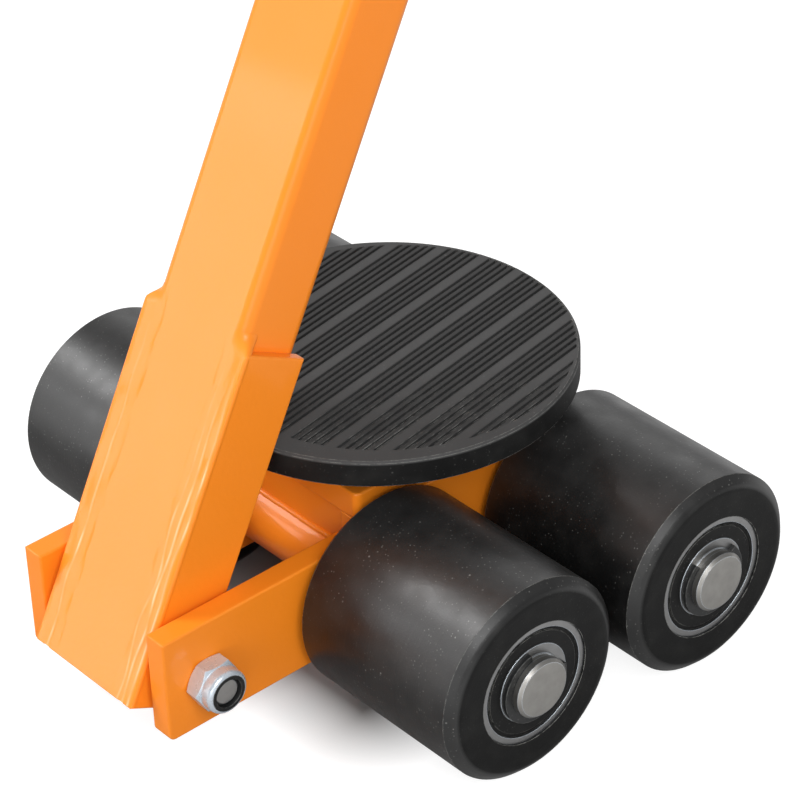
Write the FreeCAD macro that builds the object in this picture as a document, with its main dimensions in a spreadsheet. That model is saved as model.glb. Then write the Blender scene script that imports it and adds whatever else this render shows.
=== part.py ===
"""Steerable machine skate: four rollers, a rubber-topped turntable and a hinged drawbar.

The origin is the centre of the load face on the turntable, +Z is up, the axles run along X
and the drawbar is at the -Y end, which is the front. Right is +X, as seen from the drawbar end.
All sizes are millimetres and degrees.
"""
import FreeCAD, Part
import math
import os
import re
import Sketcher

SIZES = {
    # load face, turntable and its roller thrust bearing
    "total_height": 111,
    "pad_diameter": 158,
    "pad_edge": 11,
    "pad_cover": 3,
    "pad_wall": 4,
    "pad_bevel": 0.8,
    "groove_pitch": 3.025,
    "groove_width": 1.4,
    "groove_depth": 1.1,
    "groove_turn": 9.5,
    "groove_period": 6,
    "grooved_diameter": 147,
    "grooved_right": 1,
    "grooved_back": 4.5,
    "thrust_bore": 50,
    "thrust_outer": 70,
    "thrust_washer": 4,
    "thrust_roller": 6,
    "thrust_roller_length": 6,
    "thrust_roller_count": 20,
    "thrust_cage": 4,
    "thrust_cage_rail": 1.2,
    "thrust_bore_step": 1,
    "thrust_play": 0.05,
    "kingpin_diameter": 24,
    "kingpin_step": 1,
    "kingpin_end": 4,
    "bush_wall": 3,
    "kingpin_washer_diameter": 44,
    "kingpin_washer_thick": 4,
    # welded frame
    "deck_thick": 12,
    "deck_overhang": 8.5,
    "deck_corner": 3,
    "deck_play": 0.3,
    "plate_thick": 10,
    "plate_height": 46,
    "lug_reach": 104,
    "tail_reach": 25,
    "lug_corner": 3,
    "edge_round": 0.8,
    "cross_plate_thick": 8,
    "cross_plate_inset": 2,
    "axle_tube_diameter": 30,
    "weld_gap": 0.1,
    # axles, rollers and their sealed ball bearings
    "wheel_base": 94,
    "turntable_offset": 5.25,
    "axle_diameter": 25,
    "axle_end": 3.8,
    "axle_chamfer": 1.2,
    "roller_diameter": 85,
    "roller_length": 88,
    "roller_gap": 1.5,
    "roller_chamfer": 4,
    "roller_round": 6,
    "roller_shoulder": 3,
    "bearing_outer": 52,
    "bearing_width": 15,
    "bearing_recess": 0.8,
    "outer_ring_wall": 2.6,
    "inner_ring_wall": 4,
    "seal_thick": 1.4,
    "seal_inset": 0.3,
    "seal_step": 0.7,
    "seal_step_width": 1.6,
    "clip_thick": 2,
    "clip_width": 3.6,
    "clip_groove_depth": 0.55,
    "clip_mouth": 90,
    "front_clip_turn": 36,
    "rear_clip_turn": 4,
    "clip_offset": 0.6,
    "clip_slack": 0.1,
    # drawbar and its hinge
    "tube_width": 50,
    "tube_depth": 30,
    "tube_wall": 3,
    "tube_corner": 4.5,
    "cheek_thick": 5,
    "cheek_top": 125.2,
    "cheek_corner": 1.5,
    "bar_tail": 19.3,
    "bar_length": 932,
    "hinge_reach": 84.5,
    "hinge_drop": 2.5,
    "hinge_set_back": 5.6,
    "hinge_play": 0.5,
    "park_gap": 0.3,
    "bolt_diameter": 12,
    "bolt_flats": 19,
    "bolt_head": 7.5,
    "bolt_inset": 1.5,
    "bolt_chamfer": 1,
    "hex_chamfer": 1.1,
    "nut_height": 7.5,
    "collar_height": 5.5,
    "collar_diameter": 18.4,
    "collar_round": 2,
    "nylon_wall": 1.6,
    "washer_thick": 2.5,
    "washer_diameter": 24,
    "sleeve_diameter": 18,
    "handle_diameter": 25,
    "handle_wall": 2.5,
    "handle_length": 320,
    "handle_below_top": 35,
    "grip_length": 100,
    "grip_wall": 3.5,
    "grip_flange": 3,
    "grip_flange_thick": 4,
    "grip_round": 2.5,
    "end_cap_thick": 4,
    "end_cap_plug": 14,
    # fits, as radial clearances
    "seat_fit": 0.02,
    "running_fit": 0.08,
    "hole_fit": 0.1,
    "seal_lip": 0.1,
    "cage_fit": 0.3,
}

# Places that several pieces share, written as formulas over the sizes.
FRONT = "(turntable_offset - wheel_base / 2)"
REAR = "(turntable_offset + wheel_base / 2)"
AXLE = "(roller_diameter / 2 - total_height)"
HINGE = f"({FRONT} - hinge_reach)"
HINGE_UP = f"({AXLE} - hinge_drop)"
CHEEK_OUT = "(tube_width / 2 + cheek_thick)"
PLATE_IN = f"({CHEEK_OUT} + hinge_play + washer_thick)"
PLATE_OUT = f"({PLATE_IN} + plate_thick)"
ROLLER_IN = f"({PLATE_OUT} + roller_gap)"
ROLLER_OUT = f"({ROLLER_IN} + roller_length)"
RING_IN = f"({ROLLER_IN} + bearing_recess)"
RING_OUT = f"({ROLLER_OUT} - bearing_recess)"
AXLE_TIP = f"({RING_OUT} + clip_thick + axle_end)"
DISC_LOW = "(-pad_edge)"
DECK_TOP = f"({DISC_LOW} - 2 * thrust_washer - thrust_roller)"
DECK_LOW = f"({DECK_TOP} - deck_thick)"
DECK_FRONT = f"({FRONT} - deck_overhang)"
DECK_REAR = f"({REAR} + deck_overhang)"
BUSH_OUT = "(kingpin_diameter / 2 + running_fit + bush_wall)"
BAR_MID = "(-hinge_set_back)"
BAR_REAR = f"({BAR_MID} + tube_depth / 2)"
BAR_FRONT = f"({BAR_MID} - tube_depth / 2)"
RIM_Y = f"(-pad_diameter / 2 - {HINGE})"
RIM_Z = f"(-{HINGE_UP})"
# The parked bar leans back until its rear face is one gap away from the turntable's upper rim.
LEAN = (
    f"(acos(({BAR_REAR} + park_gap) / sqrt({RIM_Y} ^ 2 + {RIM_Z} ^ 2))"
    f" - atan2({RIM_Z}; {RIM_Y}))"
)

X_AXIS = FreeCAD.Vector(1, 0, 0)
Y_AXIS = FreeCAD.Vector(0, 1, 0)
Z_AXIS = FreeCAD.Vector(0, 0, 1)
RIGHT_SIDE = FreeCAD.Rotation()
LEFT_SIDE = FreeCAD.Rotation(Z_AXIS, 180)
UPRIGHT = FreeCAD.Rotation(Y_AXIS, -90)
SIDES = (("right", RIGHT_SIDE), ("left", LEFT_SIDE))
# How near an edge must be to a place to be the one meant.
TOUCH = 0.01

doc = FreeCAD.newDocument("machine_skate")
sheet = doc.addObject("Spreadsheet::Sheet", "Sizes")
for row, (alias, number) in enumerate(SIZES.items(), start=1):
    sheet.set(f"A{row}", alias)
    sheet.set(f"B{row}", str(number))
    sheet.setAlias(f"B{row}", alias)
doc.recompute()

nodes = {}


def sized(text):
    """Point every size that a formula names at its cell in the sheet."""
    return re.sub(r"[a-z]+(?:_[a-z]+)+", r"Sizes.\g<0>", str(text))


def bind(thing, path, text):
    """Drive one property of an object by a formula."""
    thing.setExpression(path, sized(text))


def place(thing, x="0", y="0", z="0", rotation=RIGHT_SIDE):
    """Put a piece at a point given by formulas, turned as said."""
    thing.Placement = FreeCAD.Placement(FreeCAD.Vector(), rotation)
    for path, text in (("x", x), ("y", y), ("z", z)):
        bind(thing, f"Placement.Base.{path}", text)
    return thing


def place_on_bar(thing):
    """Put a piece of the drawbar on the hinge axis and lean it back to its parked angle."""
    place(thing, y=HINGE, z=HINGE_UP, rotation=FreeCAD.Rotation(-X_AXIS, 30))
    bind(thing, "Placement.Rotation.Angle", LEAN)
    return thing


def keep(thing, label):
    """Hand a finished piece in as a node."""
    thing.Label = label
    nodes[label] = thing
    return thing


def group(label, pieces):
    """Hand several like solids in as one node."""
    compound = doc.addObject("Part::Compound", label)
    compound.Links = pieces
    return keep(compound, label)


def new_body(name):
    return doc.addObject("PartDesign::Body", name)


def sketch(body, role, corners=(), circles=(), lift="0"):
    """Draw one outline through the corners, with circles, on one of the body's own planes."""
    plane = next(feature for feature in body.Origin.OriginFeatures if feature.Role == role)
    drawing = body.newObject("Sketcher::SketchObject", "sketch")
    drawing.AttachmentSupport = (plane, [""])
    drawing.MapMode = "FlatFace"
    bind(drawing, "AttachmentOffset.Base.z", lift)
    count = len(corners)
    start = [
        FreeCAD.Vector(math.cos(2 * math.pi * i / count), math.sin(2 * math.pi * i / count), 0)
        for i in range(count)
    ]
    for i in range(count):
        drawing.addGeometry(Part.LineSegment(start[i], start[(i + 1) % count]))
    for i in range(count):
        drawing.addConstraint(Sketcher.Constraint("Coincident", i, 2, (i + 1) % count, 1))
    for i, corner in enumerate(corners):
        for kind, text in zip(("DistanceX", "DistanceY"), corner):
            measure = drawing.addConstraint(Sketcher.Constraint(kind, -1, 1, i, 1, 1))
            bind(drawing, f"Constraints[{measure}]", text)
    for across, up, radius in circles:
        ring = drawing.addGeometry(Part.Circle(FreeCAD.Vector(), Z_AXIS, 1))
        for kind, text in (("DistanceX", across), ("DistanceY", up)):
            measure = drawing.addConstraint(Sketcher.Constraint(kind, -1, 1, ring, 3, 1))
            bind(drawing, f"Constraints[{measure}]", text)
        measure = drawing.addConstraint(Sketcher.Constraint("Radius", ring, 1))
        bind(drawing, f"Constraints[{measure}]", radius)
    return drawing


def pad(body, drawing, length, both_ways=False):
    """Raise a sketch, or raise it by half the length to each side of its plane."""
    feature = body.newObject("PartDesign::Pad", "pad")
    feature.Profile = drawing
    feature.Midplane = both_ways
    bind(feature, "Length", length)
    return feature


def pocket(body, drawing, length, both_ways=True):
    """Cut a sketch out, by half the length to each side of its plane."""
    doc.recompute()
    before = body.Shape.Volume
    feature = body.newObject("PartDesign::Pocket", "pocket")
    feature.Profile = drawing
    feature.Midplane = both_ways
    bind(feature, "Length", length)
    doc.recompute()
    if body.Shape.Volume >= before:
        raise RuntimeError(f"a pocket of {body.Label} cuts nothing")
    return feature


def soften(body, kind, size, chosen):
    """Fillet or chamfer the edges of the body that the test picks."""
    doc.recompute()
    tip = body.Tip
    names = [f"Edge{i}" for i, edge in enumerate(tip.Shape.Edges, start=1) if chosen(edge)]
    if not names:
        raise RuntimeError(f"no edge of {body.Label} is picked")
    feature = body.newObject(f"PartDesign::{kind}", kind.lower())
    feature.Base = (tip, names)
    bind(feature, "Radius" if kind == "Fillet" else "Size", size)
    doc.recompute()
    return feature


def value(text):
    """Work a formula out on the sheet's present numbers."""
    probe = doc.addObject("App::FeaturePython", "probe")
    probe.addProperty("App::PropertyFloat", "Value")
    bind(probe, "Value", text)
    doc.recompute()
    result = probe.Value
    doc.removeObject(probe.Name)
    return result


def along(edge, axis):
    """True for a straight edge that runs along the axis."""
    if edge.Curve.TypeId != "Part::GeomLine":
        return False
    return abs(edge.tangentAt(edge.FirstParameter).dot(axis)) > 0.999


def is_rim(edge, thickness):
    """True for an edge around the outline of a plate's face, and not for the rim of a hole."""
    return getattr(edge.BoundBox, thickness) < TOUCH and not edge.isClosed()


def turned(name, corners):
    """Turn a piece about X from its half section, given as pairs of place along X and radius."""
    body = new_body(name)
    drawing = sketch(body, "XY_Plane", corners)
    feature = body.newObject("PartDesign::Revolution", "turn")
    feature.Profile = drawing
    feature.ReferenceAxis = (drawing, ["H_Axis"])
    feature.Angle = 360
    return body


def ring(name, low, high, inner, outer):
    """A plain turned ring between two places along X."""
    return turned(name, [(low, inner), (low, outer), (high, outer), (high, inner)])


def rectangle(left, right, low, high):
    return [(left, low), (right, low), (right, high), (left, high)]


def hexagon(flats):
    """Corners of a hexagon with two flats across the sketch's second axis."""
    tip = f"({flats} / sqrt(3))"
    half = f"({flats} / 2)"
    return [
        (tip, "0"),
        (f"{tip} / 2", half),
        (f"-{tip} / 2", half),
        (f"-{tip}", "0"),
        (f"-{tip} / 2", f"-{half}"),
        (f"{tip} / 2", f"-{half}"),
    ]


def bevel_hexagon(body, flats, face, inward):
    """Turn the corners of a hexagon off at one end, as a cone at 30 degrees to that face."""
    doc.recompute()
    before = body.Shape.Volume
    tip = f"({flats} / sqrt(3))"
    reach = "(hex_chamfer * sqrt(3))"
    wedge = [
        (face, f"{tip} - {reach}"),
        (face, f"{tip} + {reach}"),
        (f"{face} {inward} 2 * hex_chamfer", f"{tip} + {reach}"),
    ]
    drawing = sketch(body, "XY_Plane", wedge)
    feature = body.newObject("PartDesign::Groove", "bevel")
    feature.Profile = drawing
    feature.ReferenceAxis = (drawing, ["H_Axis"])
    feature.Angle = 360
    doc.recompute()
    if body.Shape.Volume >= before:
        raise RuntimeError(f"a bevel of {body.Label} cuts nothing")


def snap_ring(name, shaft_diameter, face):
    """External retaining ring: an eccentric ring with a wide open mouth, turned mouth up."""
    seat = f"({shaft_diameter} / 2 - clip_groove_depth)"
    reach = f"({seat} + clip_width)"
    body = new_body(name)
    ring_outline = [("0", "0", f"{seat} + seat_fit"), ("0", "-clip_offset", reach)]
    pad(body, sketch(body, "YZ_Plane", circles=ring_outline, lift=face), "clip_thick")
    wide = f"(2 * {reach} * sin(clip_mouth / 2))"
    high = f"(2 * {reach} * cos(clip_mouth / 2))"
    mouth = [("0", "0"), (wide, high), (f"-{wide}", high)]
    pocket(body, sketch(body, "YZ_Plane", mouth, lift=face), "4 * clip_thick")
    return body


def side_plate(label, inner_face):
    """Flat plate with the drawbar lug in front, both axle holes, and a raised middle under the deck."""
    lug_front = f"({FRONT} - lug_reach)"
    tail = f"({REAR} + tail_reach)"
    low = f"({AXLE} - plate_height / 2)"
    top = f"({AXLE} + plate_height / 2)"
    outline = [
        (lug_front, low),
        (tail, low),
        (tail, top),
        (DECK_REAR, top),
        (DECK_REAR, DECK_LOW),
        (DECK_FRONT, DECK_LOW),
        (DECK_FRONT, top),
        (lug_front, top),
    ]
    axle_hole = "axle_diameter / 2 + seat_fit"
    holes = [
        (FRONT, AXLE, axle_hole),
        (REAR, AXLE, axle_hole),
        (HINGE, HINGE_UP, "bolt_diameter / 2 + hole_fit"),
    ]
    body = new_body(label)
    pad(body, sketch(body, "YZ_Plane", outline, holes), "plate_thick")
    low_level = value(low)

    def is_lower_corner(edge):
        return along(edge, X_AXIS) and abs(edge.CenterOfMass.z - low_level) < TOUCH

    soften(body, "Fillet", "lug_corner", is_lower_corner)
    soften(body, "Fillet", "edge_round", lambda edge: is_rim(edge, "XLength"))
    return keep(place(body, x=inner_face), label)


def deck():
    """Top plate of the frame, with a hole for the kingpin's bush."""
    body = new_body("deck_plate")
    outline = rectangle(f"-{PLATE_OUT}", PLATE_OUT, DECK_FRONT, DECK_REAR)
    hole = [("0", "0", f"{BUSH_OUT} + seat_fit")]
    pad(body, sketch(body, "XY_Plane", outline, hole, lift=DECK_LOW), "deck_thick")
    soften(body, "Fillet", "deck_corner", lambda edge: along(edge, Z_AXIS))
    soften(body, "Fillet", "edge_round", lambda edge: is_rim(edge, "ZLength"))
    return keep(body, "deck_plate")


def cross_plate(label, axle, outer_face, inner_face):
    """Plate between the side plates, saddled over an axle tube and up to the deck."""
    body = new_body(label)
    outline = rectangle(outer_face, inner_face, AXLE, DECK_LOW)
    pad(body, sketch(body, "YZ_Plane", outline), f"2 * {PLATE_IN}", both_ways=True)
    saddle = [(axle, AXLE, "axle_tube_diameter / 2 + weld_gap")]
    pocket(body, sketch(body, "YZ_Plane", circles=saddle), f"4 * {PLATE_IN}")
    return keep(body, label)


def frame():
    side_plate("side_plate_right", PLATE_IN)
    side_plate("side_plate_left", f"-{PLATE_OUT}")
    deck()
    front_face = f"({DECK_FRONT} + cross_plate_inset)"
    rear_face = f"({DECK_REAR} - cross_plate_inset)"
    cross_plate("front_cross_plate", FRONT, front_face, f"{front_face} + cross_plate_thick")
    cross_plate("rear_cross_plate", REAR, f"{rear_face} - cross_plate_thick", rear_face)
    for end, axle in (("front", FRONT), ("rear", REAR)):
        tube = ring(
            f"{end}_axle_tube",
            f"-{PLATE_IN}",
            PLATE_IN,
            "axle_diameter / 2 + hole_fit",
            "axle_tube_diameter / 2",
        )
        keep(place(tube, y=axle, z=AXLE), f"{end}_axle_tube")


def axles():
    """Plain through axles with a retaining ring groove near each end."""
    radius = "(axle_diameter / 2)"
    groove = f"({radius} - clip_groove_depth)"
    groove_out = f"({RING_OUT} + clip_thick + clip_slack)"
    half = [
        (AXLE_TIP, "0"),
        (AXLE_TIP, f"{radius} - axle_chamfer"),
        (f"({AXLE_TIP} - axle_chamfer)", radius),
        (groove_out, radius),
        (groove_out, groove),
        (RING_OUT, groove),
        (RING_OUT, radius),
    ]
    profile = half[::-1] + [(f"-{place_x}", height) for place_x, height in half]
    profile = [profile[-1], *profile[:-1]]
    clips = []
    for end, axle, turn in (("front", FRONT, "front_clip_turn"), ("rear", REAR, "rear_clip_turn")):
        keep(place(turned(f"{end}_axle", profile), y=axle, z=AXLE), f"{end}_axle")
        for side, rotation in SIDES:
            clip = snap_ring(f"clip_{end}_{side}", "axle_diameter", RING_OUT)
            mouth = FreeCAD.Rotation(-X_AXIS, SIZES[turn])
            clips.append(place(clip, y=axle, z=AXLE, rotation=rotation * mouth))
    group("axle_clips", clips)


def seal(face, inward, inner_land, outer_land):
    """Rubber shield of a bearing, set in from the face of its rings and stepped down at its rim."""
    front = f"({face} {inward} seal_inset)"
    step = f"({front} {inward} seal_step)"
    back = f"({front} {inward} seal_thick)"
    lip = f"({inner_land} + seal_lip)"
    rim = f"({outer_land} - seat_fit)"
    step_in = f"({rim} - seal_step_width)"
    profile = [(front, lip), (front, step_in), (step, step_in), (step, rim), (back, rim), (back, lip)]
    return turned("seal", profile)


def rollers():
    """Four solid rollers, each on two sealed bearings that a sleeve keeps apart on the axle."""
    shaft = "(axle_diameter / 2 + seat_fit)"
    inner_land = "(axle_diameter / 2 + inner_ring_wall)"
    outer_land = "(bearing_outer / 2 - outer_ring_wall)"
    tread = "(roller_diameter / 2)"
    seat = "(bearing_outer / 2 + seat_fit)"
    bore = "(bearing_outer / 2 - roller_shoulder)"
    pocket_in = f"({RING_IN} + bearing_width)"
    pocket_out = f"({RING_OUT} - bearing_width)"
    profile = [
        (ROLLER_IN, seat),
        (ROLLER_IN, f"{tread} - roller_chamfer"),
        (f"{ROLLER_IN} + roller_chamfer", tread),
        (f"{ROLLER_OUT} - roller_chamfer", tread),
        (ROLLER_OUT, f"{tread} - roller_chamfer"),
        (ROLLER_OUT, seat),
        (pocket_out, seat),
        (pocket_out, bore),
        (pocket_in, bore),
        (pocket_in, seat),
    ]
    corner_radius = value(f"{tread} - roller_chamfer")

    def is_face_corner(edge):
        return edge.isClosed() and abs(edge.Curve.Radius - corner_radius) < TOUCH

    bearings = ((RING_IN, pocket_in), (pocket_out, RING_OUT))
    spacers = []
    for end, axle in (("front", FRONT), ("rear", REAR)):
        for side, rotation in SIDES:
            corner = f"{end}_{side}"

            def set_up(body):
                return place(body, y=axle, z=AXLE, rotation=rotation)

            roller = turned(f"roller_{corner}", profile)
            soften(roller, "Fillet", "roller_round", is_face_corner)
            keep(set_up(roller), f"roller_{corner}")
            outer_rings = []
            inner_rings = []
            seals = []
            for low, high in bearings:
                outer_rings.append(set_up(ring("outer_ring", low, high, outer_land, "bearing_outer / 2")))
                inner_rings.append(set_up(ring("inner_ring", low, high, shaft, inner_land)))
                for face, inward in ((low, "+"), (high, "-")):
                    seals.append(set_up(seal(face, inward, inner_land, outer_land)))
            group(f"bearing_outer_rings_{corner}", outer_rings)
            group(f"bearing_inner_rings_{corner}", inner_rings)
            group(f"bearing_seals_{corner}", seals)
            sleeve = ring(f"bearing_sleeve_{corner}", pocket_in, pocket_out, shaft, inner_land)
            keep(set_up(sleeve), f"bearing_sleeve_{corner}")
            spacers.append(set_up(ring("spacer", PLATE_OUT, RING_IN, shaft, inner_land)))
    group("axle_spacers", spacers)


def grooved(cap):
    """Cut rows of straight grooves into the top of the cap, inside an off-centre circle."""
    reach = "(2 * grooved_diameter)"
    field = doc.addObject("Part::Cylinder", "grooved_field")
    bind(field, "Radius", "grooved_diameter / 2")
    bind(field, "Height", "4 * groove_depth")
    place(field, "grooved_right", "grooved_back", "-2 * groove_depth")
    cuts = []
    period = int(SIZES["groove_period"])
    half_count = math.ceil(value("grooved_diameter / groove_pitch / 2")) + period
    for i in range(-half_count, half_count):
        if i % period == period // 2:
            continue
        cut = doc.addObject("Part::Box", "groove")
        bind(cut, "Length", "groove_width")
        bind(cut, "Width", reach)
        bind(cut, "Height", "2 * groove_depth")
        place(cut, f"groove_pitch * {i + 0.5} - groove_width / 2", f"-{reach} / 2", "-groove_depth")
        cuts.append(cut)
    rows = doc.addObject("Part::Compound", "groove_rows")
    rows.Links = cuts
    place(rows, rotation=FreeCAD.Rotation(Z_AXIS, 10))
    bind(rows, "Placement.Rotation.Angle", "groove_turn")
    tool = doc.addObject("Part::Common", "grooves")
    tool.Base = rows
    tool.Tool = field
    pad_top = doc.addObject("Part::Cut", "rubber_pad")
    pad_top.Base = cap
    pad_top.Tool = tool
    return pad_top


def turntable():
    """Steel disc under a rubber cap, turning on a kingpin and a roller thrust bearing."""
    disc_radius = "(pad_diameter / 2 - pad_wall)"
    rim = "(pad_diameter / 2)"
    disc_top = "(-pad_cover)"
    disc = turned(
        "turntable_disc",
        [(DISC_LOW, "0"), (DISC_LOW, disc_radius), (disc_top, disc_radius), (disc_top, "0")],
    )
    keep(place(disc, rotation=UPRIGHT), "turntable_disc")
    cap = [
        (disc_top, "0"),
        (disc_top, f"{disc_radius} + seat_fit"),
        (DISC_LOW, f"{disc_radius} + seat_fit"),
        (DISC_LOW, rim),
        ("-pad_bevel", rim),
        ("0", f"{rim} - pad_bevel"),
        ("0", "0"),
    ]
    keep(grooved(place(turned("rubber_cap", cap), rotation=UPRIGHT)), "rubber_pad")

    boss = "(thrust_bore / 2 - seat_fit)"
    pin = "(kingpin_diameter / 2)"
    groove = f"({pin} - clip_groove_depth)"
    boss_low = f"({DECK_TOP} + kingpin_step)"
    washer_top = f"({DECK_LOW} - deck_play)"
    washer_low = f"({washer_top} - kingpin_washer_thick)"
    groove_low = f"({washer_low} - clip_thick - clip_slack)"
    pin_low = f"({groove_low} - kingpin_end)"
    kingpin = [
        (DISC_LOW, "0"),
        (DISC_LOW, boss),
        (boss_low, boss),
        (boss_low, pin),
        (washer_low, pin),
        (washer_low, groove),
        (groove_low, groove),
        (groove_low, pin),
        (f"{pin_low} + axle_chamfer", pin),
        (pin_low, f"{pin} - axle_chamfer"),
        (pin_low, "0"),
    ]
    keep(place(turned("kingpin", kingpin), rotation=UPRIGHT), "kingpin")
    hub = f"{pin} + running_fit"
    washer = ring("kingpin_washer", washer_low, washer_top, hub, "kingpin_washer_diameter / 2")
    keep(place(washer, rotation=UPRIGHT), "kingpin_washer")
    clip = snap_ring("kingpin_clip", "kingpin_diameter", f"({washer_low} - clip_thick)")
    keep(place(clip, rotation=UPRIGHT), "kingpin_clip")
    bush = ring("kingpin_bush", DECK_LOW, DECK_TOP, hub, BUSH_OUT)
    keep(place(bush, rotation=UPRIGHT), "kingpin_bush")


def thrust_bearing():
    """Two flat washers with a ring of radial rollers in a cage between them."""
    outer = "(thrust_outer / 2)"
    bore = "(thrust_bore / 2)"
    pitch = f"(({outer} + {bore}) / 2)"
    middle = f"({DECK_TOP} + thrust_washer + thrust_roller / 2)"
    lower_top = f"({DECK_TOP} + thrust_washer)"
    upper_low = f"({DISC_LOW} - thrust_washer)"
    lower = ring("thrust_washer_lower", DECK_TOP, lower_top, f"{bore} + thrust_bore_step", outer)
    keep(place(lower, rotation=UPRIGHT), "thrust_washer_lower")
    upper = ring("thrust_washer_upper", upper_low, DISC_LOW, bore, outer)
    keep(place(upper, rotation=UPRIGHT), "thrust_washer_upper")

    count = int(SIZES["thrust_roller_count"])
    body = new_body("thrust_cage")
    rails = [
        ("0", "0", f"{pitch} - thrust_roller_length / 2 - cage_fit - thrust_cage_rail"),
        ("0", "0", f"{pitch} + thrust_roller_length / 2 + cage_fit + thrust_cage_rail"),
    ]
    pad(body, sketch(body, "XY_Plane", circles=rails, lift=middle), "thrust_cage", both_ways=True)
    half_length = "(thrust_roller_length / 2 + cage_fit)"
    half_width = "(thrust_roller / 2 + cage_fit)"
    window = rectangle(
        f"{pitch} - {half_length}", f"{pitch} + {half_length}", f"-{half_width}", half_width
    )
    drawing = sketch(body, "XY_Plane", window, lift=middle)
    cut = pocket(body, drawing, "2 * thrust_cage")
    pattern = body.newObject("PartDesign::PolarPattern", "windows")
    pattern.Originals = [cut]
    pattern.Axis = (drawing, ["N_Axis"])
    pattern.Angle = 360
    pattern.Occurrences = count
    body.Tip = pattern
    keep(body, "thrust_cage")

    rolling = []
    for i in range(count):
        angle = 360 * i / count
        roller = doc.addObject("Part::Cylinder", "thrust_roller")
        bind(roller, "Radius", "thrust_roller / 2 - thrust_play")
        bind(roller, "Height", "thrust_roller_length")
        start = f"({pitch} - thrust_roller_length / 2)"
        direction = FreeCAD.Rotation(Z_AXIS, angle) * FreeCAD.Rotation(Y_AXIS, 90)
        place(roller, f"cos({angle}) * {start}", f"sin({angle}) * {start}", middle, direction)
        rolling.append(roller)
    group("thrust_rollers", rolling)


def hinge():
    """Bolt through both lugs with a self-locking nut, and a washer on each side of the drawbar."""
    shank = "(bolt_diameter / 2)"
    nut_top = f"({PLATE_OUT} + nut_height)"
    collar_top = f"({nut_top} + collar_height)"
    bolt = new_body("hinge_bolt")
    head = sketch(bolt, "YZ_Plane", hexagon("bolt_flats"), lift=f"-{PLATE_OUT} - bolt_head")
    pad(bolt, head, "bolt_head")
    bevel_hexagon(bolt, "bolt_flats", f"(-{PLATE_OUT} - bolt_head)", "+")
    stem = sketch(bolt, "YZ_Plane", circles=[("0", "0", shank)], lift=f"-{PLATE_OUT}")
    bolt_tip = f"({collar_top} - bolt_inset)"
    pad(bolt, stem, f"{PLATE_OUT} + {bolt_tip}")
    tip_level = value(bolt_tip)
    soften(bolt, "Chamfer", "bolt_chamfer", lambda edge: abs(edge.CenterOfMass.x - tip_level) < TOUCH)
    keep(place(bolt, y=HINGE, z=HINGE_UP), "hinge_bolt")

    nut = new_body("hinge_lock_nut")
    pad(nut, sketch(nut, "YZ_Plane", hexagon("bolt_flats"), lift=PLATE_OUT), "nut_height")
    bevel_hexagon(nut, "bolt_flats", PLATE_OUT, "+")
    bevel_hexagon(nut, "bolt_flats", nut_top, "-")
    collar = [("0", "0", "collar_diameter / 2")]
    pad(nut, sketch(nut, "YZ_Plane", circles=collar, lift=nut_top), "collar_height")
    collar_level = value(collar_top)
    soften(nut, "Fillet", "collar_round", lambda edge: abs(edge.CenterOfMass.x - collar_level) < TOUCH)
    thread = [("0", "0", f"{shank} + seat_fit")]
    pocket(nut, sketch(nut, "YZ_Plane", circles=thread, lift=PLATE_OUT), f"4 * {collar_top}")
    recess = [("0", "0", f"{shank} + nylon_wall + seat_fit")]
    pocket(nut, sketch(nut, "YZ_Plane", circles=recess, lift=collar_top), "2 * collar_height")
    keep(place(nut, y=HINGE, z=HINGE_UP), "hinge_lock_nut")
    insert = ring("nut_nylon_ring", nut_top, collar_top, f"{shank} + seat_fit", f"{shank} + nylon_wall")
    keep(place(insert, y=HINGE, z=HINGE_UP), "nut_nylon_ring")

    washers = []
    for side, rotation in SIDES:
        washer = ring(
            "hinge_washer",
            f"({CHEEK_OUT} + hinge_play)",
            PLATE_IN,
            f"{shank} + hole_fit",
            "washer_diameter / 2",
        )
        washers.append(place(washer, y=HINGE, z=HINGE_UP, rotation=rotation))
    group("hinge_washers", washers)


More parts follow.
